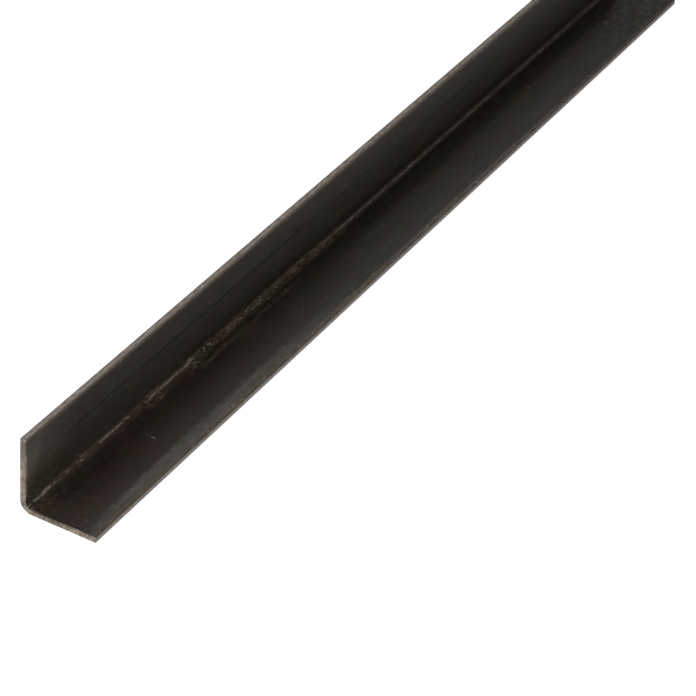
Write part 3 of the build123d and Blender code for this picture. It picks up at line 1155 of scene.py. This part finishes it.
# painted shade: darker along the bottom of the foot's toe face, next to the table
toe_underside_shade = {"Value": slit_axes["X"], "From Min": 60.0, "From Max": 220.0, "To Max": 0.22}
toe_underside_shade = add(tree, "MapRange", toe_underside_shade).outputs["Result"]
toe_underside_shade = {0: slit_axes["Z"], 1: toe_underside_shade}
toe_underside_shade = add(tree, "Math", toe_underside_shade, operation="SUBTRACT").outputs["Value"]
toe_underside_shade = {"Value": toe_underside_shade, "From Min": 0.55, "From Max": 0.20}
toe_underside_shade = add(tree, "MapRange", toe_underside_shade).outputs["Result"]
toe_underside_shade = add(tree, "Math", {0: toe_underside_shade, 1: slit_axes["Y"]}, operation="MULTIPLY").outputs["Value"]
drawn = {"Value": rising, "From Min": 0.95, "From Max": 1.35}
drawn = add(tree, "MapRange", drawn).outputs["Result"]
drawn = add(tree, "Math", {0: drawn, 1: slit_axes["Y"]}, operation="MULTIPLY").outputs["Value"]
colour = painted(tree, "#7d7267", (
    (tears, 0.35, 0.65, 1.0, "#b8afa5"),
    (browned, 0.48, 0.72, 0.5, "#74685b"),
    # painted shade: the foot's whole toe face is darker than the upright's
    (slit_axes["Y"], TOE - 0.5, TOE - 0.1, 0.50, "#433b33"),  # the whole of the foot's toe
    (drawn, 0.0, TOE, 0.85, "#40382f"),
    (toe_underside_shade, 0.0, TOE, 0.90, "#1d1916"),
))
bump = {"Height": tears, "Strength": 0.25, "Distance": 0.05 * MM}
shader = {"Base Color": colour, "Metallic": 0.6, "Roughness": 0.5}
shader["Normal"] = add(tree, "Bump", bump).outputs["Normal"]
add(tree, "OutputMaterial", {"Surface": add(tree, "BsdfPrincipled", shader).outputs["BSDF"]})
print(slit_edge.name, "has", len(tree.nodes), "nodes")

# %% [markdown]
# ## Sawn ends
#
# The saw went through the wall at a slant and left its tracks across it. Damp has browned the cut in
# blotches, most along the inner edge, where oil stood in the root, and a file has brightened the outer
# rim. The two toe corners carry a painted highlight, and the underside carries painted shade where it
# meets the table. The eye sees dull grey metal, streaked, with brown over it.
#
# One colour with a bump would do for a cut that lies far off. The near one is close to the camera,
# so its tracks are in the colour, the bump and the mesh. Real ones are about 0.1 mm apart. Here
# they are 0.33 mm, so that they show.

# %% Patterns of the saw cut
SAW_SLANT = math.radians(24)
sawn_end, tree = new_material("sawn_end_of_mild_steel")
cut_place = add(tree, "Attribute", attribute_name="strip").outputs["Vector"]
cut_axes = add(tree, "SeparateXYZ", {"Vector": cut_place}).outputs
tracks = {"Vector": cut_place, "Rotation": (SAW_SLANT, 0, 0), "Scale": (1, 3.0, 0.5)}
tracks = add(tree, "Mapping", tracks).outputs["Vector"]
tracks = add(tree, "TexNoise", {"Vector": tracks, "Scale": 1.0, "Detail": 3.0}).outputs["Fac"]
smears = {"Vector": cut_place, "Rotation": (SAW_SLANT, 0, 0), "Scale": (1, 1.1, 0.6)}
smears = add(tree, "Mapping", smears).outputs["Vector"]
smears = add(tree, "TexNoise", {"Vector": smears, "Scale": 1.0, "Detail": 3.0}).outputs["Fac"]
blotches = strip_pattern(tree, "TexNoise", 1.0, 2.4, Detail=3.0).outputs["Fac"]
flecks = strip_pattern(tree, "TexNoise", 1.0, 0.45, Detail=2.0).outputs["Fac"]
hues = strip_pattern(tree, "TexNoise", 7.0, 1.3, Detail=2.0).outputs["Fac"]
uneven_depth = {0: smears, 1: 1.3, 2: cut_axes["Z"]}
uneven_depth = add(tree, "Math", uneven_depth, operation="MULTIPLY_ADD").outputs["Value"]
print("the saw's slant, degrees:", round(math.degrees(SAW_SLANT)))

# %% [markdown]
# The brown grows out from a place on the foot leg, 6 mm from the root, where the oil ran to.
# *Inner rim* is the oily line along the inner edge, and *underside_shade* is painted shade along the
# underside, where the cut meets the table. A *corner* is where the distances across and in depth together
# are greatest: the two toe corners, which get a painted highlight.

# %% Where the inner edge is brown, the underside's painted shade and the toe corners' painted highlight
OIL_PLACE = 6.0  # across, in mm
from_oil = add(tree, "Math", {0: cut_axes["Y"], 1: OIL_PLACE}, operation="SUBTRACT").outputs["Value"]
from_oil = add(tree, "Math", {0: from_oil}, operation="ABSOLUTE").outputs["Value"]
damp = {"Value": from_oil, "From Min": 6.0, "From Max": 1.0}
damp = add(tree, "MapRange", damp).outputs["Result"]
oily = {"Value": from_oil, "From Min": 6.5, "From Max": 2.0, "To Min": 0.22, "To Max": 1.0}
oily = add(tree, "MapRange", oily).outputs["Result"]
inner_rim = {"Value": uneven_depth, "From Min": 1.50, "From Max": 2.05}
inner_rim = add(tree, "MapRange", inner_rim).outputs["Result"]
inner_rim = add(tree, "Math", {0: inner_rim, 1: oily}, operation="MULTIPLY").outputs["Value"]
corner = add(tree, "Math", {0: cut_axes["Y"]}, operation="ABSOLUTE").outputs["Value"]
corner = add(tree, "Math", {0: corner, 1: cut_axes["Z"]}, operation="ADD").outputs["Value"]
on_upright = {"Value": cut_axes["Y"], "From Min": -6.0, "From Max": -9.0}
on_upright = add(tree, "MapRange", on_upright).outputs["Result"]
# painted shade along the underside, where the cut meets the table
underside_shade = {"Value": cut_axes["Z"], "From Min": 0.45, "From Max": 0.05}
underside_shade = add(tree, "MapRange", underside_shade).outputs["Result"]
underside_shade = add(tree, "Math", {0: underside_shade, 1: damp}, operation="MULTIPLY").outputs["Value"]
colour = painted(tree, "#5a5047", (
    (tracks, 0.36, 0.64, 1.0, "#91867a"),
    (on_upright, 0.0, 1.0, 0.20, "#4d423a"),
    (hues, 0.50, 0.68, 0.7, "#827760"),
    (hues, 0.50, 0.32, 0.7, "#7a6769"),
    (smears, 0.46, 0.64, 0.70, "#453a30"),
    (blotches, 0.52, 0.70, 0.55, "#52463a"),  # brown blotches
    (blotches, 0.46, 0.30, 0.55, "#938b80"),  # and clean ones
    (cut_axes["Y"], -13.0, -17.0, 0.50, "#463c36"),
    (damp, 0.0, 1.0, 0.30, "#40362c"),
    (flecks, 0.60, 0.68, 0.60, "#6e4a31"),  # flecks of red rust
    (uneven_depth, 1.00, 0.70, 0.60, "#8f8c84"),  # the filed outer rim
    (inner_rim, 0.0, 1.0, 0.85, "#2b2019"),
    # painted shade along the underside
    (underside_shade, 0.0, 1.0, 0.85, "#3a3129"),
    # painted highlight on the two toe corners
    (corner, 19.15, 19.45, 0.8, "#c9c0b4"),
))
print("nodes so far:", len(tree.nodes))

# %% [markdown]
# A few larger damp or clean spots lie on the near cut alone. Each is an ellipse across and in depth,
# as a nick is, and the smears make its edge uneven. Along the bar it reaches 20 mm, far short of the
# other end.

# %% Damp and clean spots of the near cut
SPOT_REACH = 20  # mm, along the bar
SPOTS = (  # across, depth, half length, half width in mm, share, colour
    (6.9, 0.6, 1.9, 1.2, 0.40, "#41301f"),
    (3.6, 1.4, 4.5, 0.5, 0.55, "#241a13"),
    (2.6, 0.6, 1.8, 0.5, 0.30, "#a89d90"),
    (-8.6, 0.4, 2.0, 0.6, 0.30, "#a79b8b"),
    (-7.8, 1.3, 1.8, 0.4, 0.30, "#a79b8b"),
    (12.0, 0.4, 2.0, 1.0, 0.30, "#a89d90"),
    (-14.2, 0.8, 3.4, 1.2, 0.45, "#463c36"),
)
for spot_across, spot_depth, half_length, half_width, share, tint in SPOTS:
    spot = {"Vector": cut_place, "Location": (0, spot_across, spot_depth)}
    spot["Scale"] = (SPOT_REACH, half_length, half_width)
    spot = add(tree, "Mapping", spot, vector_type="TEXTURE").outputs["Vector"]
    spot = add(tree, "VectorMath", {0: spot}, operation="LENGTH").outputs["Value"]
    spot = {0: smears, 1: 1.6, 2: spot}
    spot = add(tree, "Math", spot, operation="MULTIPLY_ADD").outputs["Value"]
    colour = painted(tree, colour, ((spot, 1.75, 0.95, share, tint),))
print("spots on the cut:", len(SPOTS))

# %% Finish of the saw cut
bump = {"Height": tracks, "Strength": 0.3, "Distance": 0.06 * MM}
shader = {"Base Color": colour, "Metallic": 0.6, "Roughness": 0.5}
shader["Normal"] = add(tree, "Bump", bump).outputs["Normal"]
add(tree, "OutputMaterial", {"Surface": add(tree, "BsdfPrincipled", shader).outputs["BSDF"]})
print(sawn_end.name, "has", len(tree.nodes), "nodes")

# %% Which faces are scale, slit or sawn
for material in (mill_scale, slit_edge, sawn_end):
    bar_mesh.materials.append(material)
slit_start = n_across - 1
slit_end = slit_start + n_depth - 1
column = np.arange(n_loop)
slit_column = ((column >= slit_start) & (column < slit_end)) | (column >= slit_end + n_across - 1)
side_material = np.broadcast_to(slit_column * 1, (n_rings - 1, n_loop)).ravel()
material_numbers = np.concatenate([side_material, np.full(len(near_faces) + len(far_faces), 2)])
bar_mesh.polygons.foreach_set("material_index", material_numbers.astype(np.int32))
print("faces: mill scale, slit, sawn:", np.bincount(material_numbers))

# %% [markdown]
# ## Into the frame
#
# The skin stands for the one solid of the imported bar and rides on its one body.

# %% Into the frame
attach(rolled_angle, "root")
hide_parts("angle_section")
print(rolled_angle.name, "stands for angle_section and rides on root")

# %% [markdown]
# ## The studio
#
# A pale table that glows from below, as a light table does, and four plain softboxes. Its top is
# opal acrylic, which scatters all light evenly: the eye sees it flat and pale, with no gloss. A
# table that was only lit from above would show where the lamps stand. It lies a hair under the bar,
# so that the two never share a plane. A sky texture would colour the scale, so the room is a plain
# white of very low strength.

# %% The light table
TABLE_SIDE = 12.0  # m
TABLE_GAP = 0.05 * MM
TABLE_GLOW = 0.8
table_mesh = bpy.data.meshes.new("light_table")
half = TABLE_SIDE / 2
table_corners = [(-half, -half, 0), (half, -half, 0), (half, half, 0), (-half, half, 0)]
table_mesh.from_pydata(table_corners, [], [(0, 1, 2, 3)])
light_table = bpy.data.objects.new("light_table", table_mesh)
light_table.location.z = -TABLE_GAP
bpy.context.scene.collection.objects.link(light_table)
table_material, tree = new_material("opal_acrylic")
shader = {"Base Color": linear("#bcbcbc"), "Roughness": 1.0, "Specular IOR Level": 0.0}
shader.update({"Emission Color": linear("#ffffff"), "Emission Strength": TABLE_GLOW})
shader = add(tree, "BsdfPrincipled", shader).outputs["BSDF"]
add(tree, "OutputMaterial", {"Surface": shader})
table_mesh.materials.append(table_material)
print("table, m:", TABLE_SIDE, "glow:", TABLE_GLOW)

# %% Softboxes and room
SOFTBOXES = (  # name, azimuth from +X towards +Y, elevation, width, height in m, watts
    ("softbox_high_left", 240, 60, 0.8, 0.8, 5.4),
    ("softbox_left", 240, 30, 0.8, 0.8, 8.3),
    ("softbox_front", 300, 16, 2.0, 1.0, 14.4),
    ("softbox_back", 124, 45, 0.8, 0.8, 1.0),
)
SOFTBOX_DISTANCE = 1.2  # m
ROOM_LIGHT = 0.02
for name, azimuth, elevation, width, height, watts in SOFTBOXES:
    light = bpy.data.lights.new(name, "AREA")
    light.shape = "RECTANGLE"
    light.size = width
    light.size_y = height
    light.energy = watts
    softbox = bpy.data.objects.new(name, light)
    a, e = math.radians(azimuth), math.radians(elevation)
    towards = Vector((math.cos(a) * math.cos(e), math.sin(a) * math.cos(e), math.sin(e)))
    softbox.location = towards * SOFTBOX_DISTANCE
    softbox.rotation_euler = towards.to_track_quat("Z", "Y").to_euler()
    softbox.visible_camera = False
    bpy.context.scene.collection.objects.link(softbox)

world = bpy.data.worlds.new("room")
world.use_nodes = True
background = world.node_tree.nodes["Background"].inputs
background["Color"].default_value = linear("#ffffff")
background["Strength"].default_value = ROOM_LIGHT
bpy.context.scene.world = world
bpy.context.scene.view_settings.view_transform = "Standard"  # colours show as their swatches do
print("softboxes:", len(SOFTBOXES), "watts in all:", round(sum(row[-1] for row in SOFTBOXES), 1))
